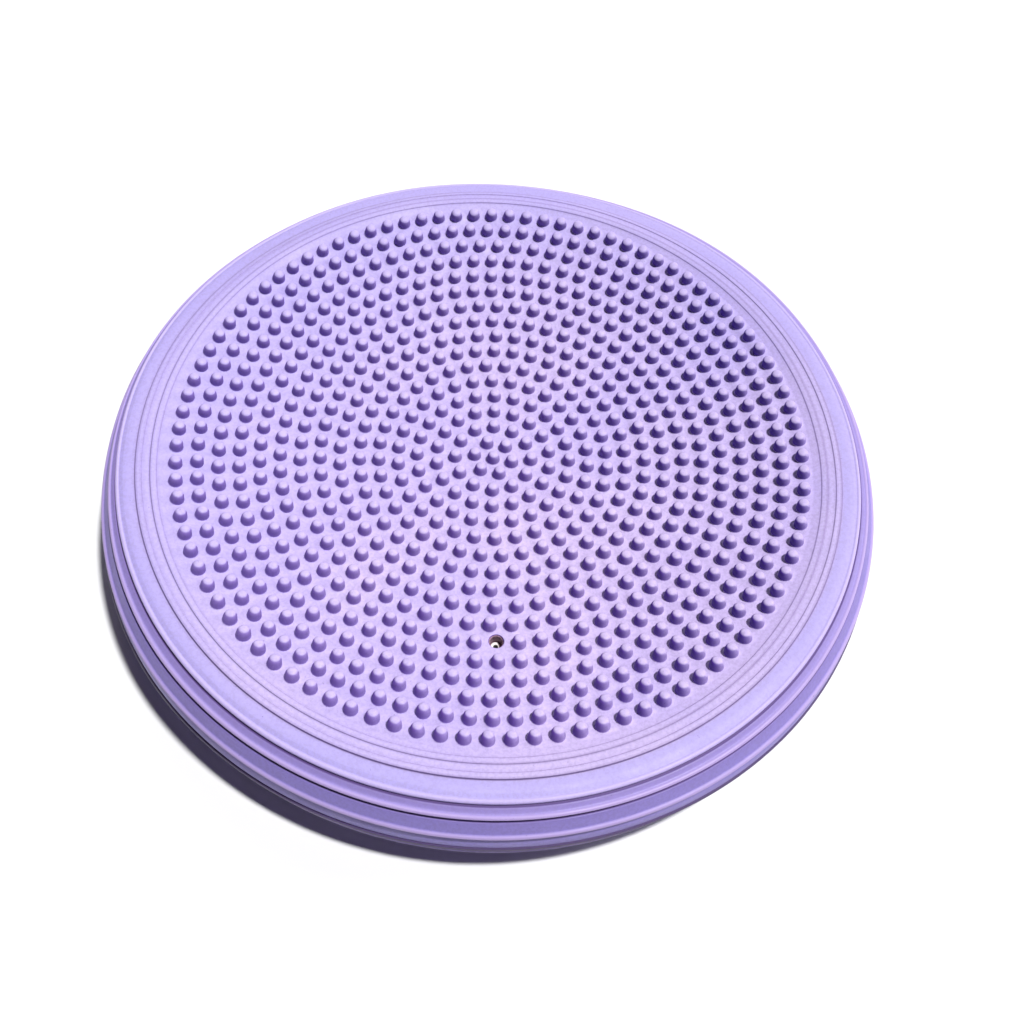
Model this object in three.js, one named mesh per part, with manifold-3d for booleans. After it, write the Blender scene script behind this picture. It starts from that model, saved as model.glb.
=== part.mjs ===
// Wobble cushion: a low, soft PVC air cushion with a nubbed, dished top deck.
// Millimetres, +Z up. Origin: centre of the flat underside, on the surface the cushion lies on.
// -Y is the side where the needle valve sits in the deck.
//
// The real skin is one soft moulding that bends everywhere. Here it is cut into rings at the
// places where it bends most, so that each ring can be moved by a joint:
//   bottom_skin - lower_side_wall - rim_weld - upper_side_wall - shoulder_ring - deck_margin - nub_deck

import * as THREE from 'three';
import { mergeVertices } from 'three/addons/utils/BufferGeometryUtils.js';
import Module from 'manifold-3d';

const wasm = await Module();
wasm.setup();

// ---------- driving dimensions ----------
const RIM_RADIUS = 165;            // outermost point of the weld bead: 330 mm across
const WALL = 3.5;                  // thickness of the moulded skin
const GAP = 0.3;                   // clearance kept between neighbouring pieces
const AROUND = 72;                 // facets round the cushion
const AROUND_VALVE = 20;           // facets round the valve parts

// The rolled rim is half an ellipse in section, standing on the floor plane.
const BEAD_PROUD = 0.5;            // how far the weld bead stands out of the side wall
const RIM_CREST_RADIUS = 147;      // where the rim is highest
const RIM_HALF_WIDTH = RIM_RADIUS - BEAD_PROUD - RIM_CREST_RADIUS;
const RIM_HALF_HEIGHT = 19.8;      // so the rim is 39.6 mm thick
const BEAD_HALF_HEIGHT = 1.5;

// The deck is the nub field: it is dished because the cushion is only lightly inflated.
const FIELD_RADIUS = 130.4;        // outermost ring of nubs
const FIELD_EDGE_HEIGHT = 36;      // deck surface at that ring
const DISH_DEPTH = 14.9;           // how much lower the middle of the deck is
const DISH_FULLNESS = 0.143;       // makes the dish flatter in the middle than a parabola
const DECK_RADIUS = 134.5;
const SHOULDER_INNER_RADIUS = 150; // between the flexing margin and the stiff shoulder ring
const SHOULDER_END = 66.5;         // degrees up the rim ellipse: shoulder ring to side wall

// The needle valve is set in the deck among the nubs.
const VALVE_PLACE = [0, -88.2];
const VALVE_HOLE_RADIUS = 3.4;
const BOSS_RADIUS = 8;
const BOSS_DEPTH = 6;              // below the underside of the skin
const SLEEVE_RADIUS = 3.1;
const SLEEVE_BORE_RADIUS = 2.5;
const SLEEVE_SUNK = 0.7;           // the sleeve's mouth below the deck surface
const CORE_RADIUS = 2.2;
const CORE_HEIGHT = 5;               // its top is 4.5 mm below the deck surface
const PINHOLE_RADIUS = 0.5;

// ---------- surface laws ----------
const radians = (degrees) => (degrees * Math.PI) / 180;
const degrees = (angle) => (angle * 180) / Math.PI;

function deckHeight(r) {
  const q = (r / FIELD_RADIUS) ** 2;
  return FIELD_EDGE_HEIGHT - DISH_DEPTH * (1 - q) * (1 + DISH_FULLNESS * q);
}

// The margin rises from the deck to the crest of the rim, is level there, then follows the rim's ellipse.
function marginHeight(r) {
  if (r > RIM_CREST_RADIUS) return rimPoint(phiAtRadius(r, 0), 0)[1];
  const crest = 2 * RIM_HALF_HEIGHT;
  const share = (RIM_CREST_RADIUS - r) / (RIM_CREST_RADIUS - DECK_RADIUS);
  return crest - (crest - deckHeight(DECK_RADIUS)) * share * share;
}

// A point of the rim's section: phi 0 is the widest point, 90 the crest; inset is the depth below the skin.
function rimPoint(phi, inset) {
  return [
    RIM_CREST_RADIUS + (RIM_HALF_WIDTH - inset) * Math.cos(radians(phi)),
    RIM_HALF_HEIGHT + (RIM_HALF_HEIGHT - inset) * Math.sin(radians(phi)),
  ];
}

// The angles at which the rim's section passes a given radius, or a height above its middle.
const phiAtRadius = (r, inset) => degrees(Math.acos((r - RIM_CREST_RADIUS) / (RIM_HALF_WIDTH - inset)));
const phiAtHeight = (h, inset) => degrees(Math.asin(h / (RIM_HALF_HEIGHT - inset)));

// ---------- makers ----------
// A curve sampled at steps + 1 even values from start to end.
function sample(start, end, steps, pointAt) {
  return Array.from({ length: steps + 1 }, (_, i) => pointAt(start + ((end - start) * i) / steps));
}

// Turns an outline of [radius, height] points about Z. With the axis on its left, it runs anticlockwise.
function turn(outline, segments) {
  const points = outline.map(([r, z]) => new THREE.Vector2(r, z));
  const geometry = new THREE.LatheGeometry(points, segments);
  geometry.rotateX(Math.PI / 2);
  return geometry;
}

function closeRing(outline) {
  return [...outline, outline[0]];
}

// The solid of a turned ring whose outside and inside lines both run the same way.
function shell(outside, inside, segments) {
  return turn(closeRing([...outside, ...inside.reverse()]), segments);
}

function toManifold(geometry) {
  const bare = geometry.clone();
  bare.deleteAttribute('normal');
  bare.deleteAttribute('uv');
  const merged = mergeVertices(bare, 1e-4);
  const index = merged.index.array;
  const kept = [];
  for (let i = 0; i < index.length; i += 3) {
    const [a, b, c] = [index[i], index[i + 1], index[i + 2]];
    if (a !== b && b !== c && c !== a) kept.push(a, b, c);
  }
  const vertProperties = new Float32Array(merged.attributes.position.array);
  return new wasm.Manifold(new wasm.Mesh({ numProp: 3, vertProperties, triVerts: new Uint32Array(kept) }));
}

function toGeometry(manifold) {
  const mesh = manifold.getMesh();
  const geometry = new THREE.BufferGeometry();
  geometry.setAttribute('position', new THREE.BufferAttribute(new Float32Array(mesh.vertProperties), 3));
  geometry.setIndex(new THREE.BufferAttribute(new Uint32Array(mesh.triVerts), 1));
  geometry.computeVertexNormals();
  return geometry;
}

// A tube or rod standing on the valve's own axis.
function valveTube(outer, bore, low, high) {
  const outline = bore > 0
    ? closeRing([[bore, low], [outer, low], [outer, high], [bore, high]])
    : [[0, low], [outer, low], [outer, high], [0, high]];
  const geometry = turn(outline, AROUND_VALVE);
  geometry.translate(VALVE_PLACE[0], VALVE_PLACE[1], 0);
  return geometry;
}

// ---------- materials ----------
const lilac = (color) => new THREE.MeshStandardMaterial({ color, roughness: 0.55, metalness: 0 });
const SKIN = lilac(0xbda8f0);
const SIDE = lilac(0xa591dc);
const BEAD = lilac(0x8f7cc6);
const SLEEVE_RUBBER = new THREE.MeshStandardMaterial({ color: 0x9a6670, roughness: 0.7, metalness: 0 });
const CORE_RUBBER = new THREE.MeshStandardMaterial({ color: 0xe9e2d6, roughness: 0.6, metalness: 0 });

// ---------- skin ----------
const halfGapAngle = degrees(GAP / 2 / RIM_HALF_WIDTH);

function bottomSkin() {
  const edge = -SHOULDER_END - halfGapAngle;
  const outside = [[0, 0], ...sample(-90, edge, 2, (phi) => rimPoint(phi, 0))];
  const inside = [[0, WALL], ...sample(-90, edge, 2, (phi) => rimPoint(phi, WALL))];
  return turn([...outside, ...inside.reverse()], AROUND);
}

// side is 1 for the wall above the weld and -1 for its mirror image below.
function sideWall(side) {
  const clear = BEAD_HALF_HEIGHT + GAP;
  const end = SHOULDER_END - halfGapAngle;
  const line = (inset) => sample(phiAtHeight(clear, inset), end, 6, (phi) => rimPoint(side * phi, inset));
  return side > 0 ? shell(line(0), line(WALL), AROUND) : shell(line(WALL), line(0), AROUND);
}

function rimWeld() {
  const inner = RIM_RADIUS - BEAD_PROUD - WALL;
  const [low, high] = [RIM_HALF_HEIGHT - BEAD_HALF_HEIGHT, RIM_HALF_HEIGHT + BEAD_HALF_HEIGHT];
  const land = BEAD_HALF_HEIGHT / 2;
  const outside = [
    [RIM_RADIUS - BEAD_PROUD, low],
    [RIM_RADIUS, RIM_HALF_HEIGHT - land],
    [RIM_RADIUS, RIM_HALF_HEIGHT + land],
    [RIM_RADIUS - BEAD_PROUD, high],
  ];
  return shell(outside, [[inner, low], [inner, high]], AROUND);
}

function shoulderRing() {
  const start = SHOULDER_END + halfGapAngle;
  const inner = SHOULDER_INNER_RADIUS + GAP / 2;
  const line = (inset) => sample(start, phiAtRadius(inner, inset), 2, (phi) => rimPoint(phi, inset));
  return shell(line(0), line(WALL), AROUND);
}

function deckMargin() {
  const [inner, outer] = [DECK_RADIUS + GAP / 2, SHOULDER_INNER_RADIUS - GAP / 2];
  const line = (inset) => sample(outer, inner, 3, (r) => [r, marginHeight(r) - inset]);
  return shell(line(0), line(WALL), AROUND);
}

function deckBlank() {
  const outer = DECK_RADIUS - GAP / 2;
  const line = (inset) => sample(outer, 0, 5, (r) => [r, deckHeight(r) - inset]);
  return turn([...line(WALL).reverse(), ...line(0)], AROUND);
}

// ---------- valve ----------
const valveDeckHeight = deckHeight(Math.hypot(...VALVE_PLACE));
const bossFloor = valveDeckHeight - WALL - BOSS_DEPTH;

function nubDeck() {
  const drill = toManifold(valveTube(VALVE_HOLE_RADIUS, 0, bossFloor, FIELD_EDGE_HEIGHT));
  return toGeometry(toManifold(deckBlank()).subtract(drill));
}

// The boss reaches up to the underside of the sloping skin, so the skin's own shape trims its top.
function valveBoss() {
  const skin = deckBlank();
  skin.translate(0, 0, -GAP);
  const tube = valveTube(BOSS_RADIUS, VALVE_HOLE_RADIUS, bossFloor, valveDeckHeight - WALL / 2);
  return toGeometry(toManifold(tube).subtract(toManifold(skin)));
}

function valveSleeve() {
  return valveTube(SLEEVE_RADIUS, SLEEVE_BORE_RADIUS, bossFloor, valveDeckHeight - SLEEVE_SUNK);
}

function valveCore() {
  return valveTube(CORE_RADIUS, PINHOLE_RADIUS, bossFloor, bossFloor + CORE_HEIGHT);
}

// ---------- assembly ----------
const PIECES = [
  ['bottom_skin', bottomSkin(), SKIN],
  ['lower_side_wall', sideWall(-1), SIDE],
  ['rim_weld', rimWeld(), BEAD],
  ['upper_side_wall', sideWall(1), SIDE],
  ['shoulder_ring', shoulderRing(), SKIN],
  ['deck_margin', deckMargin(), SKIN],
  ['nub_deck', nubDeck(), SKIN],
  ['valve_boss', valveBoss(), SKIN],
  ['valve_sleeve', valveSleeve(), SLEEVE_RUBBER],
  ['valve_core', valveCore(), CORE_RUBBER],
];

const cushion = new THREE.Group();
for (const [name, geometry, material] of PIECES) {
  const mesh = new THREE.Mesh(geometry, material);
  mesh.name = name;
  cushion.add(mesh);
}

export default cushion;
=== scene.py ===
"""Looks of the wobble cushion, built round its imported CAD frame.

Lengths inside the builders are in millimetres, and mesh_object() turns them into metres.
The frame stands on z = 0, with +Z up through the middle of the deck and -Y towards the valve.
"""

import math

import bpy
import numpy as np
from mathutils import Matrix, Vector
from mathutils.geometry import delaunay_2d_cdt


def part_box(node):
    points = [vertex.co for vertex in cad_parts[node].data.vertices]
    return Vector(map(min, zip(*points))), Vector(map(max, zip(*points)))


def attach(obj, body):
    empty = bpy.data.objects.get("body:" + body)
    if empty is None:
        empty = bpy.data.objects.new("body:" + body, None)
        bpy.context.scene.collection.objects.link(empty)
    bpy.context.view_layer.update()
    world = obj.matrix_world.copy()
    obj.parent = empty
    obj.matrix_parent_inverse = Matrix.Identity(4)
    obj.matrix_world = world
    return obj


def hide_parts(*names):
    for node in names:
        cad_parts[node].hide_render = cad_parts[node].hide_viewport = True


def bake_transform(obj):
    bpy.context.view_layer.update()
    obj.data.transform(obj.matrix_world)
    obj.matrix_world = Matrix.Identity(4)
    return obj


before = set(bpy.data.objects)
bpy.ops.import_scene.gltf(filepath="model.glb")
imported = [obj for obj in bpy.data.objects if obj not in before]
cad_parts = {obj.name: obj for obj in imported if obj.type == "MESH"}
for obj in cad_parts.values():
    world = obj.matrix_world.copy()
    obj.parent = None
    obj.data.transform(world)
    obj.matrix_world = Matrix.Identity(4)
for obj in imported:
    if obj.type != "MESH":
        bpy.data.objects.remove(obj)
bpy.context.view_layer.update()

MM = 0.001


def box_mm(node):
    """Lowest and highest corner of a CAD node, in millimetres."""
    low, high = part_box(node)
    return np.array(low) / MM, np.array(high) / MM


# ---------- sizes from the frame, and those that the frame doesn't tell ----------
WALL = 3.5  # thickness of the skin
HALF_GAP = 0.15  # half the clearance between neighbouring CAD rings, which the looks close
weld_low, weld_high = box_mm("rim_weld")
deck_low, deck_high = box_mm("nub_deck")
margin_high = box_mm("deck_margin")[1]
sleeve_low, sleeve_high = box_mm("valve_sleeve")
core_low, core_high = box_mm("valve_core")

RIM_RADIUS = weld_high[0]
BEAD_PROUD = 0.5  # how far the weld bead stands out of the wall
RIM_MIDDLE = (weld_low[2] + weld_high[2]) / 2
BEAD_HALF_HEIGHT = (weld_high[2] - weld_low[2]) / 2
CREST_RADIUS = 147.0  # where the rim is highest
RIM_HALF_WIDTH = RIM_RADIUS - BEAD_PROUD - CREST_RADIUS
RIM_HALF_HEIGHT = RIM_MIDDLE
DECK_RADIUS = deck_high[0] + HALF_GAP
MARGIN_RADIUS = margin_high[0] + HALF_GAP
SHOULDER_END = 66.5  # degrees up the rim's section, at the uppermost crease

FIELD_RADIUS = 130.4  # outermost ring of nubs
FIELD_EDGE_HEIGHT = 36.0  # deck surface at that ring
DISH_DEPTH = FIELD_EDGE_HEIGHT - (deck_low[2] + WALL)
DISH_FULLNESS = 0.143  # makes the dish flatter in the middle than a parabola
VALVE_PLACE = (sleeve_low[:2] + sleeve_high[:2]) / 2
BOSS_SWELL = 0.35  # the valve's boss lifts the skin a little
BOSS_SWELL_RADIUS = 11.0
SLOPE_STEP = 0.5  # for taking the deck's slope

# ---------- nubs ----------
RINGS = 16
RING_PITCH = FIELD_RADIUS / RINGS
RING_COUNTS = [6 * k for k in range(1, 15)] + [91, 97]
# Where each ring's first nub lies, from the innermost ring out. These follow no simple rule. They were
# fitted to the photograph's nubs together with the camera, and rounded.
RING_START_DEG = (-11.9, -1.7, 8.3, -1.7, 6.3, 3.3, 3.3, -1.7, 3.2, -1.8, 2.8, 0.2, 2.3, 2.8, 0.0, 1.0)
NUB_SIDES = 16
NUB_TURN = np.linspace(0, 2 * math.pi, NUB_SIDES, endpoint=False)
NUB_PROFILE = (  # (radius, height), from the fillet at the foot up
    (3.15, 0.0), (2.92, 0.12), (2.82, 0.45), (2.74, 1.4), (2.62, 2.3),
    (2.43, 3.1), (2.16, 3.7), (1.8, 4.12), (1.3, 4.38), (0.65, 4.48),
)
NUB_TIP = 4.5
NUB_MIDDLE = 1.4  # the height at which the rings of nubs have their even pitch
NUB_TILT = 0.018  # spread of the nubs' tilts, in radians, and of their widths and heights, in shares
NUB_FATNESS = 0.012
NUB_TALLNESS = 0.015
PALE_SIDE_DEG = 61.0  # painted light: the pale caps reach further down on this side, for a nub in the middle
PALE_SWING = 0.3  # degrees that the pale side turns for each millimetre towards +X
PALE_LEAN = 0.05  # how much lower the caps' painted light reaches on that side
PAINTED_LIGHT_MOST = 0.9  # painted light: on that side a flank's painted shade is lifted up to this share of the way from its height to the tip's
PAINTED_LIGHT_TURN_FROM = 0.02  # cosine of the angle from the pale side at which this begins
PAINTED_LIGHT_TURN_OVER = 0.5  # and over which it grows
PAINTED_LIGHT_SHARE_FROM = 0.12  # share of the nub's height at which this begins
PAINTED_LIGHT_SHARE_OVER = 0.3
CAP_GROWTH = 0.09  # how much lower the caps' painted light reaches at the far edge of the deck
CAP_GROWTH_FROM = -60.0  # the place along Y where that begins
ONE_SIDED_FROM = -100.0  # to the right of this the flanks' painted shade is deeper on their left
VALVE_BARE_RADIUS = 5.0  # a nub place nearer than this to the valve is left bare

# ---------- resolution ----------
AROUND = 360
SECTORS = 36
CDT_EPSILON = 1e-5
SHARP = math.radians(60)
NEARLY_ZERO = 0.001  # innermost radius of the turned disc, so that its middle points stay apart

rng = np.random.default_rng(7)


# ---------- surface laws ----------
def deck_height(x, y):
    """The dished deck, with a low swelling over the valve's boss."""
    q = (x * x + y * y) / FIELD_RADIUS**2
    dish = FIELD_EDGE_HEIGHT - DISH_DEPTH * (1 - q) * (1 + DISH_FULLNESS * q)
    from_valve = (x - VALVE_PLACE[0]) ** 2 + (y - VALVE_PLACE[1]) ** 2
    return dish + BOSS_SWELL * np.exp(-from_valve / BOSS_SWELL_RADIUS**2)


def deck_normal(x, y):
    """The direction square to the deck."""
    step = SLOPE_STEP
    dx = (deck_height(x + step, y) - deck_height(x - step, y)) / (2 * step)
    dy = (deck_height(x, y + step) - deck_height(x, y - step)) / (2 * step)
    n = np.stack([-dx, -dy, np.ones_like(dx)], -1)
    return n / np.linalg.norm(n, axis=-1, keepdims=True)


def rim_point(phi, proud=0.0):
    """A point of the rim's section, phi degrees above its widest point and proud of its ellipse."""
    c, s = math.cos(math.radians(phi)), math.sin(math.radians(phi))
    n = np.array([c / RIM_HALF_WIDTH, s / RIM_HALF_HEIGHT])
    n /= np.linalg.norm(n)
    return (
        CREST_RADIUS + RIM_HALF_WIDTH * c + n[0] * proud,
        RIM_MIDDLE + RIM_HALF_HEIGHT * s + n[1] * proud,
    )


def rim_inside(phi):
    """The matching point on the inside of the skin."""
    c, s = math.cos(math.radians(phi)), math.sin(math.radians(phi))
    return CREST_RADIUS + (RIM_HALF_WIDTH - WALL) * c, RIM_MIDDLE + (RIM_HALF_HEIGHT - WALL) * s


def phi_at_radius(r, inset=0.0):
    """Degrees up the rim's section at a radius, on an ellipse that is narrower by the inset."""
    return math.degrees(math.acos((r - CREST_RADIUS) / (RIM_HALF_WIDTH - inset)))


# Two low ridges round the margin: first and last radius, rise, fall.
RIDGES = ((137.4, 139.9, 0.3, 0.34), (143.1, 145.6, 0.34, 0.75))
RIDGE_EDGE = 0.3
RIDGE_FEET = [r for first, last, *_ in RIDGES for r in (first, last)]
RISE_BEYOND = 0.45  # outside the ridges the surface comes back up to the rim's ellipse
RISE_LENGTH = 4.0
FOOT_SHADES = (0.35, 0.75, 0.4, 1.1)  # how strong the painted shade in the four corners at the ridges' feet is
FOOT_WIDTH = 0.38
BLUER_FROM = 145.7  # outside the second ridge the vinyl turns a little darker and bluer


def ease(x):
    """0 below 0 and 1 above 1, with a smooth step between them."""
    x = min(1.0, max(0.0, x))
    return x * x * (3 - 2 * x)


def margin_height(r):
    """From the deck's edge up to the crest of the rim, and on down the rim's ellipse."""
    crest = RIM_MIDDLE + RIM_HALF_HEIGHT
    if r > CREST_RADIUS:
        return rim_point(phi_at_radius(r))[1]
    edge = float(deck_height(np.float64(DECK_RADIUS), np.float64(0)))
    share = (CREST_RADIUS - r) / (CREST_RADIUS - DECK_RADIUS)
    return crest - (crest - edge) * share**2


def ridge_height(r):
    """How far the ridges stand out; outside each one the surface lies a little lower."""
    height = 0.0
    for first, last, rise, fall in RIDGES:
        height += rise * ease((r - first) / RIDGE_EDGE) - fall * ease((r - last) / RIDGE_EDGE)
    return height + RISE_BEYOND * ease((r - RIDGES[-1][1] - RIDGE_EDGE) / RISE_LENGTH)


def ridge_foot_shade(r):
    """How much painted shade a point gets in the corner at the foot of a ridge, from 0 to 1."""
    feet = zip(RIDGE_FEET, FOOT_SHADES)
    middle = RIDGE_EDGE / 2
    return max(shade_depth * math.exp(-(((r - at - middle) / FOOT_WIDTH) ** 2)) for at, shade_depth in feet)


# A step of the ribbed wall, as rows of (place, proud, highlight). A place is in millimetres below the
# upper crease or, if negative, above the lower one. Proud is the distance outside the rim's ellipse.
# Highlight is painted highlight, which makes the lips paler where they catch the light.
CREASE = -0.95
STEP = (
    (0.0, CREASE, 0.0),
    (0.68, -0.9, 0.0),
    (0.86, -0.5, 0.0),
    (1.1, -0.4, 0.0),
    (1.6, -0.36, 0.0),
    (-3.3, -0.3, 0.0),
    (-2.75, -0.26, 0.0),
    (-2.45, -0.1, 0.3),
    (-2.2, 0.3, 0.8),
    (-1.95, 0.58, 1.0),
    (-1.5, 0.74, 1.0),
    (-1.0, 0.72, 1.0),
    (-0.76, 0.5, 0.7),
    (-0.62, 0.1, 0.2),
    (-0.56, -0.5, 0.0),
    (-0.5, -0.9, 0.0),
)


def arc_length(upper, lower):
    """The length round the rim between two angles, taken as an arc of a circle over its chord."""
    half_turn = math.radians(abs(upper - lower)) / 2
    return math.dist(rim_point(upper), rim_point(lower)) * half_turn / math.sin(half_turn)


def rib_step(upper, lower, least_highlight):
    """Rows of (phi, proud, painted highlight) along one step, from its upper crease to its lower one."""
    length = arc_length(upper, lower)
    rows = []
    for place, proud, highlight in STEP:
        share = (place if place >= 0 else length + place) / length
        rows.append((upper + (lower - upper) * share, proud, max(highlight, least_highlight)))
    return rows


# ---------- the blown rim isn't quite round ----------
# Degrees round the rim, where +X is 0, between which each unevenness begins, is full, fades and ends.
BACK_LEFT = (30, 95, 172, 222)
RIGHT = (-50, 0, 10, 60)
BACK = (25, 85, 125, 175)
DRAWN_BACK_LEFT = 3.7
DRAWN_RIGHT = 1.6
LOWER_BACK = 3.0
FULLER_ALL_ROUND = 0.5
# Radius at which each change begins, and the length over which it grows.
FULLER_ZONE = (146, 4)
DRAWN_ZONE = (150, 13)
LOWER_ZONE = (138, 12)


def bump_between(angle, start, full, fade, end):
    """1 between full and fade degrees, easing to 0 at start and end."""
    return ease((angle - start) / (full - start)) * (1 - ease((angle - fade) / (end - fade)))


def within(r, zone):
    """0 up to the zone's radius, easing to 1 over its length."""
    start, length = zone
    return ease((r - start) / length)


def settle(points):
    """Draws the wall in at the back left and the right, and lets the crest lie lower at the back."""
    out = np.array(points, float)
    radius = np.hypot(out[:, 0], out[:, 1])
    for i in np.nonzero(radius > LOWER_ZONE[0])[0]:
        x, y, z = out[i]
        r = radius[i]
        angle = math.degrees(math.atan2(y, x)) % 360
        from_right = (angle + 180) % 360 - 180
        inward = DRAWN_BACK_LEFT * bump_between(angle, *BACK_LEFT)
        inward += DRAWN_RIGHT * bump_between(from_right, *RIGHT)
        drawn = FULLER_ALL_ROUND * within(r, FULLER_ZONE) - inward * within(r, DRAWN_ZONE)
        lower = LOWER_BACK * bump_between(angle, *BACK) * within(r, LOWER_ZONE) * z / (2 * RIM_MIDDLE)
        out[i] = (x * (1 + drawn / r), y * (1 + drawn / r), z - lower)
    return out


DECK_SHADE_CENTRE_Y = -45.0  # the deck's painted shade is least at this place along Y
DECK_SHADE_REACH = 150.0
DECK_SHADE_SHARE = 0.5  # how strong the deck's painted shade is at that reach, and how much more on the left
DECK_LEFT_SHADE_SHARE = 0.45
DECK_SHADE_MOST = 0.8
BLUE_EDGE = 0.8  # width of the tone's edge beyond the second ridge


def blue_and_shade_tone(points):
    """How far the vinyl turns darker and bluer: full on the rim, and as painted shade on the deck, more
    towards its far and left edges.
    """
    x, y = np.asarray(points)[:, 0], np.asarray(points)[:, 1]
    rim = np.clip((np.hypot(x, y) - BLUER_FROM) / BLUE_EDGE, 0, 1)
    away = np.hypot(x, y - DECK_SHADE_CENTRE_Y) / DECK_SHADE_REACH
    leftward = np.clip(-x / DECK_SHADE_REACH, 0, 1)
    deck_shade = (DECK_SHADE_SHARE + DECK_LEFT_SHADE_SHARE * leftward) * away**2
    return np.maximum(rim, np.minimum(DECK_SHADE_MOST, deck_shade))


# ---------- mesh helpers ----------
def mesh_object(name, verts, faces, attributes=()):
    """A new smooth-shaded object from millimetre vertices, with its sharp turns kept sharp."""
    mesh = bpy.data.meshes.new(name)
    mesh.from_pydata((settle(verts) * MM).tolist(), [], faces)
    mesh.validate()
    for key, values in [*attributes, ("bluer_and_shaded", blue_and_shade_tone(verts))]:
        layer = mesh.attributes.new(key, "FLOAT", "POINT")
        layer.data.foreach_set("value", np.asarray(values, np.float32))
    mesh.polygons.foreach_set("use_smooth", [True] * len(mesh.polygons))
    mesh.set_sharp_from_angle(angle=SHARP)
    mesh.update()
    obj = bpy.data.objects.new(name, mesh)
    bpy.context.scene.collection.objects.link(obj)
    return obj


def turned(name, outline, first=0.0, last=360.0, columns=AROUND, centre=(0.0, 0.0)):
    """Turns a closed outline about a vertical axis, whole or as a sector with capped ends.

    The outline has rows of (radius, height), and if wanted the painted shade of a crease, and then the
    painted highlight.
    """
    whole = last - first >= 360
    outline = np.array([(*row, 0.0, 0.0)[:4] for row in outline], float)
    count = len(outline)
    angles = np.radians(np.linspace(first, last, columns + (0 if whole else 1), endpoint=not whole))
    x = centre[0] + np.outer(np.cos(angles), outline[:, 0])
    y = centre[1] + np.outer(np.sin(angles), outline[:, 0])
    z = np.broadcast_to(outline[:, 1], x.shape)
    verts = np.stack([x, y, z], -1).reshape(-1, 3)
    faces = []
    for i in range(columns):
        a, b = i * count, ((i + 1) % len(angles)) * count
        for j in range(count):
            k = (j + 1) % count
            faces.append((a + j, b + j, b + k, a + k))
    if not whole:
        faces.append(tuple(range(count)))
        faces.append(tuple(range(columns * count + count - 1, columns * count - 1, -1)))
    looks = (("crease", outline[:, 2]), ("highlight", outline[:, 3]))
    return mesh_object(name, verts, faces, [(key, np.tile(rows, len(angles))) for key, rows in looks])


CREASE_SHADE_FROM = 0.25  # a crease's painted shade begins this far inside the rim's ellipse
CREASE_SHADE_OVER = 0.5  # and is full this much deeper


def crease_shade(proud):
    """How much painted shade a point gets for lying deep in a crease, from 0 to 1."""
    return min(1.0, max(0.0, (-proud - CREASE_SHADE_FROM) / CREASE_SHADE_OVER))


# ---------- skin rings ----------
def closed(rows, inside):
    """The outline of a skin ring: its outside rows, then its inside points on the way back."""
    return list(rows) + list(reversed(inside))


def wall_rows(steps):
    return [(*rim_point(phi, proud), crease_shade(proud), highlight) for phi, proud, highlight in steps]


CREASES = (SHOULDER_END, 48.2, 22.5)  # degrees up the rim's section
# Painted light: the whole of the upper step is painted a little paler.
UPPER_BAND_HIGHLIGHT = 0.28
WELD_EDGE = math.degrees(math.asin(BEAD_HALF_HEIGHT / RIM_HALF_HEIGHT))
# From the last crease to the weld, as rows of (share of the way, proud).
BELOW_LAST = (
    (0.0, CREASE), (0.03, -0.85), (0.07, -0.5), (0.12, -0.4), (0.4, -0.25), (0.7, -0.15), (1.0, -0.3),
)


def side_wall(name, side):
    """The upper wall (side 1), or its mirror image below the weld (side -1)."""
    steps = rib_step(CREASES[0], CREASES[1], UPPER_BAND_HIGHLIGHT) + rib_step(CREASES[1], CREASES[2], 0.0)
    span = CREASES[2] - WELD_EDGE
    steps += [(CREASES[2] - span * share, proud, 0.0) for share, proud in BELOW_LAST]
    rows = wall_rows(steps)
    inside = [rim_inside(phi) for phi in np.linspace(SHOULDER_END, WELD_EDGE, 8)]
    if side < 0:
        rows = [(r, 2 * RIM_MIDDLE - z, *looks) for r, z, *looks in reversed(rows)]
        inside = [(r, 2 * RIM_MIDDLE - z) for r, z in reversed(inside)]
    return turned(name, closed(rows, inside))


# From the margin down to the uppermost crease, as rows of (share of the way, proud).
SHOULDER_STEP = (
    (0.0, 0.0), (0.2, 0.0), (0.36, -0.06), (0.43, -0.04), (0.49, 0.24), (0.56, 0.46), (0.66, 0.56),
    (0.78, 0.52), (0.86, 0.3), (0.91, -0.1), (0.95, -0.6), (0.98, -0.88), (1.0, CREASE),
)
# The shoulder's proud ridge gets painted highlight, up to this share.
SHOULDER_MOST_HIGHLIGHT = 0.4
MARGIN_FOOT_SHADE = 0.75


def shoulder_ring():
    top = phi_at_radius(MARGIN_RADIUS)
    span = top - SHOULDER_END
    steps = []
    for share, proud in SHOULDER_STEP:
        steps.append((top - span * share, proud, min(SHOULDER_MOST_HIGHLIGHT, max(0.0, proud))))
    inner_top = phi_at_radius(MARGIN_RADIUS, WALL)
    inside = [rim_inside(phi) for phi in np.linspace(inner_top, SHOULDER_END, 4)]
    return turned("shoulder_skin", closed(wall_rows(steps), inside))


def margin_radii():
    """Radii across the margin, close together at the edges of the ridges."""
    steps = (-0.6, 0.0, 0.2, 0.4, 0.6, 0.8, 1.0, 1.8)
    fine = [at + RIDGE_EDGE * k for at in RIDGE_FEET for k in steps]
    plain = np.linspace(DECK_RADIUS, MARGIN_RADIUS, 18)
    clear = [r for r in plain if all(abs(r - at) > 2 * RIDGE_EDGE for at in RIDGE_FEET)]
    return sorted(clear + fine)


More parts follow.
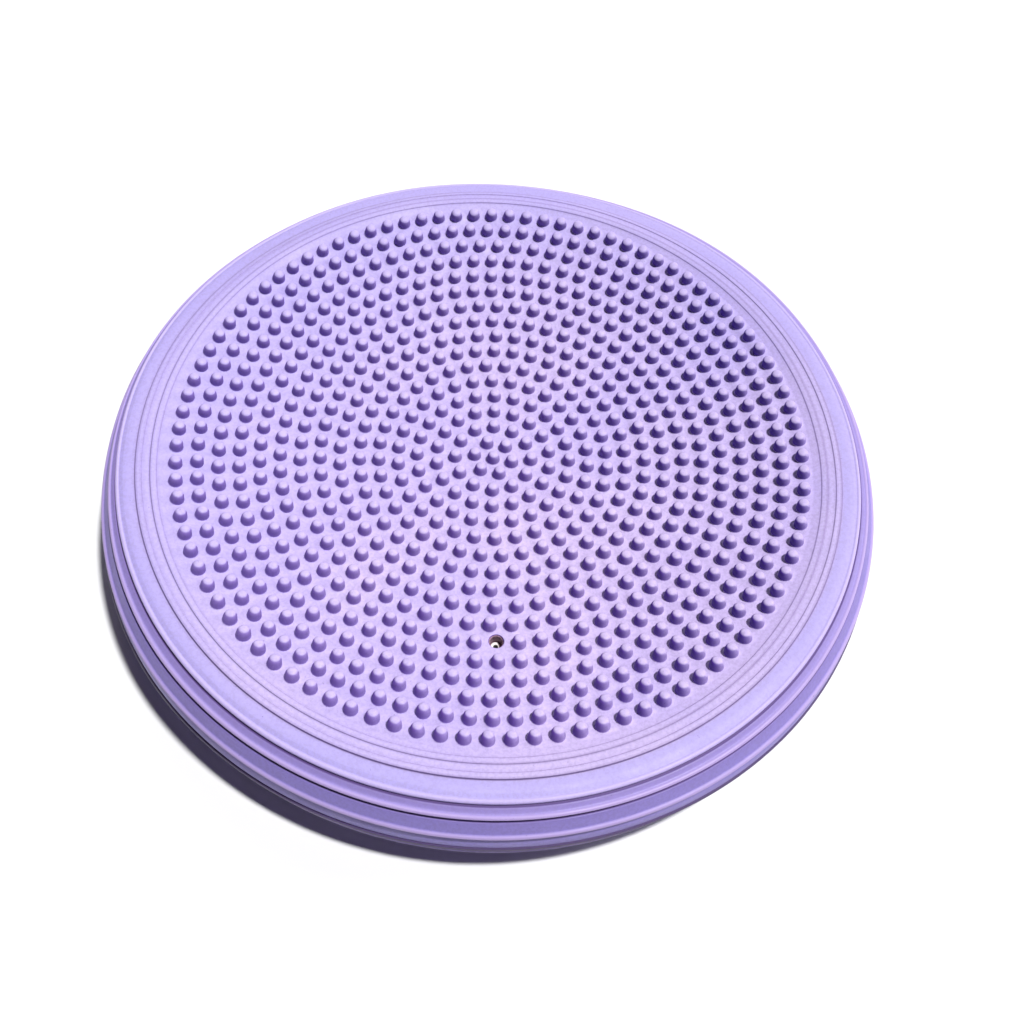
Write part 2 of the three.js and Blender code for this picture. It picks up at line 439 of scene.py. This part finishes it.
def deck_margin():
    """The flexing margin, as separate sectors."""
    rows = []
    for r in margin_radii():
        rows.append((r, margin_height(r) + ridge_height(r), MARGIN_FOOT_SHADE * ridge_foot_shade(r)))
    inside = [(r, margin_height(r) - WALL) for r in np.linspace(DECK_RADIUS, MARGIN_RADIUS, 6)]
    outline = closed(rows, inside)
    width = 360 / SECTORS
    pieces = []
    columns = AROUND // SECTORS
    for i in range(SECTORS):
        name = f"margin_sector_{i + 1:02d}"
        pieces.append(turned(name, outline, i * width, (i + 1) * width, columns))
    return pieces


BEAD_OUTWARD = 0.6  # half axes of the bead's rounded section
BEAD_UPWARD = 1.1
BEAD_ROOT_DEPTH = 0.25  # how far inside the wall the bead's root lies
BEAD_GROOVE = 0.1  # depth of the groove beside the bead, and its height
BEAD_GROOVE_HEIGHT = 0.25
ROOT_SHADE = 0.6  # how strong the painted shade in the bead's root and the groove is, as creases
GROOVE_SHADE = 0.9


def weld_bead():
    """A rounded bead, with a groove above and below it that is painted dark as shade."""
    low, high = RIM_MIDDLE - BEAD_HALF_HEIGHT, RIM_MIDDLE + BEAD_HALF_HEIGHT
    root = rim_point(WELD_EDGE, -BEAD_ROOT_DEPTH)[0]
    groove = root - BEAD_GROOVE
    rows = [(root, high, ROOT_SHADE), (groove, high - BEAD_GROOVE_HEIGHT, GROOVE_SHADE)]
    for angle in np.radians(np.linspace(75, -75, 9)):
        swell = RIM_RADIUS - BEAD_OUTWARD + BEAD_OUTWARD * math.cos(angle)
        rows.append((swell, RIM_MIDDLE + BEAD_UPWARD * math.sin(angle), 0.0))
    rows += [(groove, low + BEAD_GROOVE_HEIGHT, GROOVE_SHADE), (root, low, ROOT_SHADE)]
    inner = rim_inside(WELD_EDGE)[0]
    return turned("weld_bead", closed(rows, [(inner, high), (inner, low)]))


UNDERSIDE_GROOVES = [20 + 12 * k for k in range(11)]  # radii of the grip rings
# Half of a grip ring's groove, as rows of (distance from its middle, height, crease's painted shade).
GROOVE_HALF = ((1.4, 0.0, 0.0), (0.8, 0.25, 0.3), (0.4, 0.75, 1.0))
BOTTOM_EDGE = 2  # the flat part ends this far inside the rim's crest
BOTTOM_INSIDE = (NEARLY_ZERO, 60.0, 120.0)  # radii of the points on the flat inside
ROUNDED_TO = -70  # degrees down the rim's section at which the rounded edge ends
LOWEST_CREASE_FROM = -68


def bottom_skin():
    """The flat underside, with rings moulded into it for grip and a rounded edge."""
    rows = [(NEARLY_ZERO, 0.0, 0.0)]
    for at in UNDERSIDE_GROOVES:
        rows += [(at - away, height, crease) for away, height, crease in GROOVE_HALF]
        rows += [(at + away, height, crease) for away, height, crease in reversed(GROOVE_HALF)]
    rows.append((CREST_RADIUS - BOTTOM_EDGE, 0.0, 0.0))
    rows += [(*rim_point(phi), 0.0) for phi in np.linspace(-90, ROUNDED_TO, 5)]
    # The lowest crease gets painted shade.
    rows.append((*rim_point(LOWEST_CREASE_FROM, -0.3), 0.4))
    rows.append((*rim_point(-SHOULDER_END, CREASE), 1.0))
    inside = [(r, WALL) for r in BOTTOM_INSIDE]
    inside += [rim_inside(phi) for phi in np.linspace(-90, -SHOULDER_END, 4)]
    return turned("bottom_skin_ringed", closed(rows, inside))


# ---------- deck with nubs ----------
def nub_places():
    """Centres of the nubs: one in the middle, then rings, with the place over the valve left bare."""
    places = [(0.0, 0.0)]
    for k, (count, start) in enumerate(zip(RING_COUNTS, RING_START_DEG), start=1):
        for j in range(count):
            angle = math.radians(start + 360 * j / count)
            radius = k * RING_PITCH
            radius += NUB_MIDDLE * float(deck_normal(np.float64(-radius), np.float64(0))[0])
            x, y = radius * math.cos(angle), radius * math.sin(angle)
            if math.hypot(x - VALVE_PLACE[0], y - VALVE_PLACE[1]) > VALVE_BARE_RADIUS:
                places.append((x, y))
    return np.array(places)


def nub_rings(places):
    """Vertices of every nub, as (nub, ring, side, xyz), and the tips.

    The nubs stand square to the deck, but no two are quite alike.
    """
    x, y = places[:, 0], places[:, 1]
    count = len(places)
    base = np.stack([x, y, deck_height(x, y)], -1)
    tilt = np.concatenate([rng.normal(0, NUB_TILT, (count, 2)), np.zeros((count, 1))], 1)
    axis = deck_normal(x, y) + tilt
    axis /= np.linalg.norm(axis, axis=1, keepdims=True)
    across = np.cross([0.0, 1.0, 0.0], axis)
    across /= np.linalg.norm(across, axis=1, keepdims=True)
    along = np.cross(axis, across)
    fat = 1 + rng.normal(0, NUB_FATNESS, count)
    tall = 1 + rng.normal(0, NUB_TALLNESS, count)
    rightward = np.cos(NUB_TURN)[None, :, None] * across[:, None, :]
    backward = np.sin(NUB_TURN)[None, :, None] * along[:, None, :]
    rings = []
    for i, (radius, height) in enumerate(NUB_PROFILE):
        spread = radius * (fat[:, None, None] if i else 1.0)
        centre = base[:, None, :] + axis[:, None, :] * height * tall[:, None, None]
        points = centre + (rightward + backward) * spread
        if i == 0:
            points[..., 2] = deck_height(points[..., 0], points[..., 1])
        rings.append(points)
    tips = base + axis * (NUB_TIP * tall)[:, None]
    return np.stack(rings, 1), tips


def nub_tones(places):
    """How far up its nub's painted shade each vertex above the foot lies, lifted by painted light on the
    nub's lit side, and how far it lies on the sunlit side.
    """
    pale_side = np.radians(PALE_SIDE_DEG - PALE_SWING * places[:, 0])
    toward = np.cos(NUB_TURN[None, None, :] - pale_side[:, None, None])
    shares = np.array([h / NUB_TIP for _, h in NUB_PROFILE[1:]])[None, :, None]
    far = np.clip((places[:, 1] - CAP_GROWTH_FROM) / (FIELD_RADIUS - CAP_GROWTH_FROM), 0, 1)
    grown = 1 + CAP_GROWTH * far
    leaning = np.minimum(1.0, shares * (1 + PALE_LEAN * toward) * grown[:, None, None])
    turned_to = np.clip((toward - PAINTED_LIGHT_TURN_FROM) / PAINTED_LIGHT_TURN_OVER, 0, 1)
    high_up = np.clip((shares - PAINTED_LIGHT_SHARE_FROM) / PAINTED_LIGHT_SHARE_OVER, 0, 1)
    painted_light = turned_to * high_up
    height = leaning + (1 - leaning) * PAINTED_LIGHT_MOST * painted_light
    one_sided = np.clip(1 - places[:, 0] / ONE_SIDED_FROM, 0, 1)
    sunward = 0.5 + 0.5 * one_sided[:, None, None] * np.cos(NUB_TURN)[None, None, :]
    return height.ravel(), np.broadcast_to(sunward, height.shape).ravel()


# The valve's mouth, as rows of (radius, height over the deck), from the deck down through the skin.
LIP_PROFILE = ((3.6, 0.0), (3.12, -0.06), (2.93, -0.25), (2.9, -0.6), (3.3, -0.75), (3.3, -WALL))
LIP_SIDES = 32
LIP_SHADE_FROM = -0.2  # below this height over the deck the mouth's vinyl is painted dark as shade
LIP_SHADE = 0.5  # as dark as the painted shade halfway up a nub
UNDERSIDE_SIDES = 60
UNDERSIDE_RADII = (40.0, 110.0)  # rings of points that make the underside follow the dish


def circle(radius, sides, centre=(0.0, 0.0)):
    angles = np.linspace(0, 2 * math.pi, sides, endpoint=False)
    return np.stack([centre[0] + radius * np.cos(angles), centre[1] + radius * np.sin(angles)], -1)


def loop_edges(start, count):
    return [(start + i, start + (i + 1) % count) for i in range(count)]


def triangulate(points, edges):
    coords = [Vector(p) for p in points]
    verts, _, faces, origin, _, _ = delaunay_2d_cdt(coords, edges, [], 0, CDT_EPSILON)
    if len(verts) != len(points):
        raise RuntimeError("the deck's outline points run into each other")
    order = [o[0] for o in origin]
    return [tuple(order[i] for i in f) for f in faces]


def bridge(faces, first, second, count):
    """Quads between two loops of vertices, given by their first index."""
    for i in range(count):
        j = (i + 1) % count
        faces.append((first + i, first + j, second + j, second + i))


class Skin:
    """Gathers the deck's faces, and its vertices with their painted shade and light tones."""

    def __init__(self):
        self.verts = []
        self.height = []
        self.sunward = []
        self.faces = []
        self.total = 0

    def add(self, points, height=0.0, sunward=0.0):
        """Adds vertices, and gives the index of the first one."""
        first = self.total
        count = len(points)
        self.verts.append(points)
        self.height.append(np.broadcast_to(height, count))
        self.sunward.append(np.broadcast_to(sunward, count))
        self.total += count
        return first

    def mesh(self, name):
        looks = [("nub_shade_and_wear_height", np.concatenate(self.height)), ("sunward", np.concatenate(self.sunward))]
        return mesh_object(name, np.concatenate(self.verts), self.faces, looks)


# The skin's first vertices are the deck's edge, then the valve's mouth, then the nubs' feet.
MOUTH_START = AROUND
NUBS_START = AROUND + LIP_SIDES
EDGE_OWNER = -1
MOUTH_OWNER = -2


def add_surface(skin, feet):
    """The dished surface between the deck's edge, the valve's mouth and the nubs' feet."""
    count = len(feet)
    mouth = circle(LIP_PROFILE[0][0], LIP_SIDES, VALVE_PLACE)
    plan = np.concatenate([circle(DECK_RADIUS, AROUND), mouth, feet.reshape(-1, 2)])
    nub_owners = np.repeat(np.arange(count), NUB_SIDES)
    owner = np.concatenate([np.full(AROUND, EDGE_OWNER), np.full(LIP_SIDES, MOUTH_OWNER), nub_owners])
    edges = loop_edges(0, AROUND) + loop_edges(MOUTH_START, LIP_SIDES)
    for i in range(count):
        edges += loop_edges(NUBS_START + i * NUB_SIDES, NUB_SIDES)
    for face in triangulate(plan, edges):
        owners = {owner[i] for i in face}
        if len(owners) > 1 or EDGE_OWNER in owners:
            skin.faces.append(face)
    skin.add(np.column_stack([plan, deck_height(plan[:, 0], plan[:, 1])]))


def add_nubs(skin, places, flanks, tips):
    """Each nub's flank, ring by ring, and its tip."""
    count, levels = flanks.shape[:2]
    flanks_start = skin.add(flanks.reshape(-1, 3), *nub_tones(places))
    tips_start = skin.add(tips, height=1.0)
    for i in range(count):
        below = NUBS_START + i * NUB_SIDES
        for level in range(levels):
            above = flanks_start + (i * levels + level) * NUB_SIDES
            bridge(skin.faces, below, above, NUB_SIDES)
            below = above
        for side in range(NUB_SIDES):
            skin.faces.append((below + side, below + (side + 1) % NUB_SIDES, tips_start + i))


def add_mouth(skin):
    """The valve's mouth, down through the skin. Gives the index where its lowest loop starts."""
    centre_height = float(deck_height(*VALVE_PLACE))
    above = MOUTH_START
    for radius, drop in LIP_PROFILE[1:]:
        ring = circle(radius, LIP_SIDES, VALVE_PLACE)
        surface = deck_height(ring[:, 0], ring[:, 1])
        flat = min(1.0, -drop)  # level from 1 mm down
        z = surface * (1 - flat) + centre_height * flat + drop
        # Below the lip, the mouth's wall gets painted shade.
        below = skin.add(np.column_stack([ring, z]), height=LIP_SHADE if drop < LIP_SHADE_FROM else 0.0)
        bridge(skin.faces, below, above, LIP_SIDES)
        above = below
    return above


def add_underside(skin, mouth_foot):
    """The underside, a wall's thickness below, round the mouth's lowest loop."""
    inner = [circle(r, UNDERSIDE_SIDES) for r in UNDERSIDE_RADII]
    mouth = circle(LIP_PROFILE[-1][0], LIP_SIDES, VALVE_PLACE)
    plan = np.concatenate([circle(DECK_RADIUS, AROUND), mouth, *inner])
    edges = loop_edges(0, AROUND) + loop_edges(MOUTH_START, LIP_SIDES)
    points = np.column_stack([plan, deck_height(plan[:, 0], plan[:, 1]) - WALL])
    start = skin.add(np.delete(points, np.arange(MOUTH_START, NUBS_START), axis=0))
    edge_indices = start + np.arange(AROUND)
    mouth_indices = mouth_foot + np.arange(LIP_SIDES)
    inner_indices = start + AROUND + np.arange(len(plan) - NUBS_START)
    index = np.concatenate([edge_indices, mouth_indices, inner_indices])
    hole = set(range(MOUTH_START, NUBS_START))
    for face in triangulate(plan, edges):
        if not set(face) <= hole:
            skin.faces.append(tuple(int(index[i]) for i in reversed(face)))
    bridge(skin.faces, start, 0, AROUND)


def nub_deck():
    """The deck, its nubs and the valve's mouth, as one closed skin."""
    places = nub_places()
    rings, tips = nub_rings(places)
    skin = Skin()
    add_surface(skin, rings[:, 0, :, :2])
    add_nubs(skin, places, rings[:, 1:], tips)
    mouth_foot = add_mouth(skin)
    add_underside(skin, mouth_foot)
    return skin.mesh("nubbed_deck")


# ---------- valve ----------
VALVE_COLUMNS = 48
SLEEVE_BORE = 2.5
SLEEVE_RINGS = (0.15, 0.3, 0.45)  # shallow rings round the bore, as shares of the way down
CORE_BELOW = 0.6  # the plug's face lies this much lower than in the CAD
PINHOLE = 0.5


def valve_sleeve():
    """The rubber bush that lines the well, with rounded edges and shallow rings in its bore."""
    low, high = sleeve_low[2], sleeve_high[2]
    outer = (sleeve_high[0] - sleeve_low[0]) / 2
    bore = SLEEVE_BORE
    outline = [(bore, low), (outer, low)]
    outline += [(outer, high - 0.25), (outer - 0.08, high - 0.07), (outer - 0.25, high)]
    outline += [(bore + 0.2, high), (bore + 0.06, high - 0.06), (bore, high - 0.2)]
    for share in SLEEVE_RINGS:
        ring = high - share * (high - low)
        outline += [(bore, ring + 0.3), (bore + 0.1, ring), (bore, ring - 0.3)]
    return turned("sleeve_rubber_bush", outline, columns=VALVE_COLUMNS, centre=VALVE_PLACE)


def valve_core():
    """The plug at the bottom of the well, with a pinhole that narrows from a shallow dimple, both
    painted dark as shade.
    """
    low, high = core_low[2], core_high[2] - CORE_BELOW
    outer = (core_high[0] - core_low[0]) / 2
    outline = [(PINHOLE, low), (outer, low)]
    outline += [(outer, high - 0.5), (outer - 0.12, high - 0.18), (outer - 0.45, high)]
    outline += [(1.3, high + 0.02), (1.05, high - 0.1), (0.9, high - 0.45, 1.0)]
    outline += [(0.65, high - 1.3, 1.0), (PINHOLE, high - 1.8, 1.0)]
    return turned("core_plug", outline, columns=VALVE_COLUMNS, centre=VALVE_PLACE)


# ---------- materials ----------
RANGE_INPUTS = ("From Min", "From Max", "To Min", "To Max")


class Nodes:
    """Short ways to add and join shader nodes."""

    def __init__(self, name):
        self.material = bpy.data.materials.new(name)
        self.material.use_nodes = True
        self.tree = self.material.node_tree
        self.shader = self.tree.nodes["Principled BSDF"]
        self.place = self.add("ShaderNodeTexCoord").outputs["Object"]

    def add(self, kind, **settings):
        node = self.tree.nodes.new(kind)
        for key, value in settings.items():
            setattr(node, key, value)
        return node

    def join(self, source, target):
        self.tree.links.new(source, target)

    def noise(self, scale, detail=3.0, roughness=0.55):
        node = self.add("ShaderNodeTexNoise")
        node.inputs["Scale"].default_value = scale
        node.inputs["Detail"].default_value = detail
        node.inputs["Roughness"].default_value = roughness
        self.join(self.place, node.inputs["Vector"])
        return node.outputs["Fac"]

    def attribute(self, name):
        return self.add("ShaderNodeAttribute", attribute_name=name).outputs["Fac"]

    def across(self):
        """The place along X, in metres."""
        node = self.add("ShaderNodeSeparateXYZ")
        self.join(self.place, node.inputs["Vector"])
        return node.outputs["X"]

    def band(self, value, low, high, to_low=0.0, to_high=1.0):
        """Maps value from low..high to to_low..to_high, smoothly and clamped."""
        node = self.add("ShaderNodeMapRange", interpolation_type="SMOOTHSTEP")
        for key, number in zip(RANGE_INPUTS, (low, high, to_low, to_high)):
            node.inputs[key].default_value = number
        self.join(value, node.inputs["Value"])
        return node.outputs["Result"]

    def times(self, a, b):
        node = self.add("ShaderNodeMath", operation="MULTIPLY")
        for slot, value in zip(node.inputs, (a, b)):
            if isinstance(value, (int, float)):
                slot.default_value = value
            else:
                self.join(value, slot)
        return node.outputs[0]

    def mix(self, factor, first, second):
        """Mixes two colours, given as sockets or as RGB."""
        node = self.add("ShaderNodeMix", data_type="RGBA")
        self.join(factor, node.inputs["Factor"])
        for slot, value in ((node.inputs[6], first), (node.inputs[7], second)):
            if isinstance(value, tuple):
                slot.default_value = (*value, 1.0)
            else:
                self.join(value, slot)
        return node.outputs[2]

    def bump(self, height, strength, distance, below=None):
        node = self.add("ShaderNodeBump")
        node.inputs["Strength"].default_value = strength
        node.inputs["Distance"].default_value = distance
        self.join(height, node.inputs["Height"])
        if below is not None:
            self.join(below, node.inputs["Normal"])
        return node.outputs["Normal"]


# Scales of the noise patterns: about how many of their spots lie along a metre.
CLOUDS = 14.0
GRAIN = 800.0
SPECKS = 900.0
SHEEN = 60.0
PORES = 520.0
FINE_PORES = 2600.0
# Shares of the tones that are laid over the vinyl's clouds.
BLUISH_SHARE = 0.75
GRAIN_SHARE = 0.34
CAP_SHARE = 0.15
HIGHLIGHT_SHARE = 0.9
CREASE_SHADE_SHARE = 0.88
SPECK_SHARE = 0.35
# Tones that are made from another one, as factors for its red, green and blue.
DARK_BLUISH_OF_COOL = (0.7, 0.75, 0.95)
# The flanks' painted shade at its deepest, towards +X.
DEEPEST_SHADE_OF_DEEP = (0.42, 0.16, 0.78)
GRAIN_OF_COOL = (0.62, 0.62, 0.62)
SPECK_OF_DEEP = (0.5, 0.5, 0.5)
CREASE_SHADE_COLOUR = (0.08, 0.04, 0.16)
FAR_RIGHT = 0.11  # metres along X, where the flanks' painted shade is deepest
SHADED_LEAST = 0.45  # share of the flank's painted shade that is left on the sunlit side


def toned(colour, factors):
    return tuple(c * k for c, k in zip(colour, factors))


def vinyl(name, cool, warm, deep, roughness):
    """Soft matt PVC: a cool and a warm tone in faint clouds, under a fine grain.

    It has painted shade on the nubs' flanks, in creases and towards the deck's far and left edges, and
    painted highlights on proud lips and ridges; the nubs' tips are paler with wear.
    """
    n = Nodes(name)
    clouds = n.band(n.noise(CLOUDS, 3.0, 0.55), 0.38, 0.64)
    colour = n.mix(clouds, cool, warm)
    # Darker and bluer on the rim, and painted shade towards the deck's far and left edges.
    colour = n.mix(n.times(n.attribute("bluer_and_shaded"), BLUISH_SHARE), colour, toned(cool, DARK_BLUISH_OF_COOL))
    grain = n.band(n.noise(GRAIN, 3.0, 0.7), 0.4, 0.62)
    colour = n.mix(n.times(grain, GRAIN_SHARE), colour, toned(cool, GRAIN_OF_COOL))
    # Painted shade on the nubs' flanks, from just above the foot to below the tip, lighter on their
    # sunlit side and deeper towards +X.
    height = n.attribute("nub_shade_and_wear_height")
    flank = n.times(n.band(height, 0.02, 0.12), n.band(height, 0.84, 0.96, 1.0, 0.0))
    shade_depth = n.band(n.attribute("sunward"), 0.0, 1.0, 1.0, SHADED_LEAST)
    shaded = n.mix(n.band(n.across(), 0.0, FAR_RIGHT), deep, toned(deep, DEEPEST_SHADE_OF_DEEP))
    colour = n.mix(n.times(flank, shade_depth), colour, shaded)
    # A paler tone, laid on the nubs' tips as wear and on proud lips and ridges as painted highlight.
    paler = tuple(min(1.0, 1.05 * c + 0.03) for c in warm)
    colour = n.mix(n.times(n.band(height, 0.95, 1.0), CAP_SHARE), colour, paler)
    colour = n.mix(n.times(n.attribute("highlight"), HIGHLIGHT_SHARE), colour, paler)
    # Painted shade in the creases, grooves and the corners at the ridges' feet.
    colour = n.mix(n.times(n.attribute("crease"), CREASE_SHADE_SHARE), colour, CREASE_SHADE_COLOUR)
    specks = n.times(n.band(n.noise(SPECKS, 1.0, 0.5), 0.76, 0.8), SPECK_SHARE)
    colour = n.mix(specks, colour, toned(deep, SPECK_OF_DEEP))
    n.join(colour, n.shader.inputs["Base Color"])
    rough = n.band(n.noise(SHEEN, 4.0, 0.6), 0.3, 0.7, roughness - 0.07, roughness + 0.07)
    n.join(rough, n.shader.inputs["Roughness"])
    fine = n.bump(n.noise(FINE_PORES, 2.0, 0.6), 0.25, 0.00008)
    n.join(n.bump(n.noise(PORES, 2.0, 0.5), 0.3, 0.0002, fine), n.shader.inputs["Normal"])
    n.shader.inputs["Specular IOR Level"].default_value = 0.4
    n.shader.inputs["Subsurface Weight"].default_value = 0.04
    n.shader.inputs["Subsurface Radius"].default_value = (1.0, 0.7, 1.0)
    n.shader.inputs["Subsurface Scale"].default_value = 0.0012
    return n.material


def rubber(name, main, dark, roughness, grain):
    """Dull rubber, stained with a darker tone, and painted nearly black as shade in its pits."""
    n = Nodes(name)
    stains = n.band(n.noise(grain, 4.0, 0.65), 0.35, 0.7)
    colour = n.mix(stains, main, dark)
    pit = tuple(0.08 * c for c in dark)
    n.join(n.mix(n.attribute("crease"), colour, pit), n.shader.inputs["Base Color"])
    rough = n.band(n.noise(500.0, 3.0, 0.6), 0.3, 0.7, roughness - 0.08, roughness + 0.08)
    n.join(rough, n.shader.inputs["Roughness"])
    n.join(n.bump(n.noise(1800.0, 3.0, 0.6), 0.25, 0.0001), n.shader.inputs["Normal"])
    return n.material


COOL_LILAC = (0.475, 0.385, 0.685)
WARM_LILAC = (0.52, 0.415, 0.67)
# The deep tone is the painted shade on the nubs' flanks; the specks take a darker share of it.
DEEP_LILAC = (0.12, 0.05, 0.34)
deck_vinyl = vinyl("deck_vinyl", COOL_LILAC, WARM_LILAC, DEEP_LILAC, 0.56)
# The rim's wall and underside: the same vinyl painted darker, as shade.
side_vinyl_shaded = vinyl("side_vinyl_shaded", (0.31, 0.24, 0.56), (0.345, 0.255, 0.52), DEEP_LILAC, 0.5)
# The weld bead: the vinyl painted nearly black, as the shade under the rim.
weld_vinyl_shaded = vinyl("weld_vinyl_shaded", (0.1, 0.066, 0.15), (0.12, 0.075, 0.145), (0.06, 0.04, 0.1), 0.48)
sleeve_material = rubber("sleeve_brown_pink", (0.36, 0.21, 0.29), (0.17, 0.08, 0.13), 0.55, 700.0)
core_material = rubber("core_off_white", (0.9, 0.86, 0.84), (0.74, 0.68, 0.66), 0.5, 900.0)


def paint(obj, material):
    obj.data.materials.clear()
    obj.data.materials.append(material)


deck = nub_deck()
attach(deck, "deck")
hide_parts("nub_deck")
paint(deck, deck_vinyl)

sectors = deck_margin()
for i, piece in enumerate(sectors):
    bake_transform(piece)
    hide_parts("deck_margin")
    paint(piece, deck_vinyl)

shoulder = shoulder_ring()
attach(shoulder, "shoulder")
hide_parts("shoulder_ring")
paint(shoulder, deck_vinyl)

shoulder_foot = rim_point(SHOULDER_END, CREASE)[1] - 0.1
upper_wall = side_wall("ribbed_wall_upper", 1)
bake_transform(upper_wall)
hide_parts("upper_side_wall")
paint(upper_wall, side_vinyl_shaded)

bead = weld_bead()
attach(bead, "rim")
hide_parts("rim_weld")
paint(bead, weld_vinyl_shaded)

lower_wall = side_wall("ribbed_wall_lower", -1)
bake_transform(lower_wall)
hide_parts("lower_side_wall")
paint(lower_wall, side_vinyl_shaded)

bottom = bottom_skin()
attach(bottom, "base")
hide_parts("bottom_skin")
paint(bottom, side_vinyl_shaded)

sleeve = valve_sleeve()
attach(sleeve, "deck")
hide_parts("valve_sleeve")
paint(sleeve, sleeve_material)

core = valve_core()
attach(core, "deck")
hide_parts("valve_core")
paint(core, core_material)

paint(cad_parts["valve_boss"], deck_vinyl)


# ---------- stage, light and camera ----------
FLOOR_REACH = 6.0  # metres
FLOOR_BELOW = 0.0003


def floor():
    """A sheet of pale grey paper, just below the cushion."""
    mesh = bpy.data.meshes.new("floor")
    square = [(-1, -1), (1, -1), (1, 1), (-1, 1)]
    verts = [(x * FLOOR_REACH, y * FLOOR_REACH, -FLOOR_BELOW) for x, y in square]
    mesh.from_pydata(verts, [], [(0, 1, 2, 3)])
    obj = bpy.data.objects.new("floor", mesh)
    bpy.context.scene.collection.objects.link(obj)
    n = Nodes("floor_paper")
    n.join(n.mix(n.noise(3.0), (0.7, 0.7, 0.7), (0.72, 0.72, 0.72)), n.shader.inputs["Base Color"])
    n.shader.inputs["Roughness"].default_value = 0.9
    n.shader.inputs["Specular IOR Level"].default_value = 0.1
    paint(obj, n.material)


def sun(name, direction, strength, spread_deg, colour=(1.0, 1.0, 1.0)):
    """A sun that shines from the given direction."""
    light = bpy.data.lights.new(name, "SUN")
    light.energy = strength
    light.angle = math.radians(spread_deg)
    light.color = colour
    obj = bpy.data.objects.new(name, light)
    obj.rotation_mode = "QUATERNION"
    obj.rotation_quaternion = Vector(direction).to_track_quat("Z", "Y")
    bpy.context.scene.collection.objects.link(obj)


GLOW_SHARES = (0.03, 0.32)  # sines of the heights above the horizon between which the glow fades away


def sky(overhead, horizon):
    """A nearly dark studio, with a pale glow low down all round."""
    world = bpy.data.worlds.new("studio")
    bpy.context.scene.world = world
    world.use_nodes = True
    tree = world.node_tree
    background = tree.nodes["Background"]
    background.inputs["Color"].default_value = (1.0, 1.0, 1.0, 1.0)
    direction = tree.nodes.new("ShaderNodeTexCoord").outputs["Generated"]
    upward = tree.nodes.new("ShaderNodeSeparateXYZ")
    tree.links.new(direction, upward.inputs["Vector"])
    glow = tree.nodes.new("ShaderNodeMapRange")
    glow.interpolation_type = "SMOOTHSTEP"
    numbers = (*GLOW_SHARES, horizon, overhead)
    for key, number in zip(RANGE_INPUTS, numbers):
        glow.inputs[key].default_value = number
    tree.links.new(upward.outputs["Z"], glow.inputs["Value"])
    tree.links.new(glow.outputs["Result"], background.inputs["Strength"])


CAMERA_PLACE = Vector((-20.2, -256.2, 406.1)) * MM
CAMERA_HEADING = -6.91  # degrees that the view turns away from +Y
CAMERA_DOWN = 58.97  # degrees below the horizon
CAMERA_ROLL = 6.75
CAMERA_LENS = 37.6


def camera():
    """The photograph's camera, as it was fitted to the rings of nubs."""
    data = bpy.data.cameras.new("camera")
    data.lens = CAMERA_LENS
    data.sensor_width = 36.0
    data.clip_start = 0.01
    obj = bpy.data.objects.new("camera", data)
    heading, down = math.radians(CAMERA_HEADING), math.radians(CAMERA_DOWN)
    ahead = Vector((-math.sin(heading), math.cos(heading), 0.0))
    level = Vector((math.cos(heading), math.sin(heading), 0.0))
    forward = ahead * math.cos(down) - Vector((0.0, 0.0, math.sin(down)))
    upright = level.cross(forward)
    roll = math.radians(CAMERA_ROLL)
    right = level * math.cos(roll) + upright * math.sin(roll)
    up = upright * math.cos(roll) - level * math.sin(roll)
    turn = Matrix((right, up, -forward)).transposed()
    obj.matrix_world = Matrix.Translation(CAMERA_PLACE) @ turn.to_4x4()
    bpy.context.scene.collection.objects.link(obj)
    bpy.context.scene.camera = obj


floor()
sun("key", (0.3, 0.0, 1.0), 4.4, 5.0)
sun("right", (1.0, 0.25, 0.42), 0.85, 20.0)
sun("back", (0.15, 1.0, 0.8), 0.6, 50.0)
sky(0.004, 0.8)
camera()
bpy.context.scene.view_settings.view_transform = "Standard"
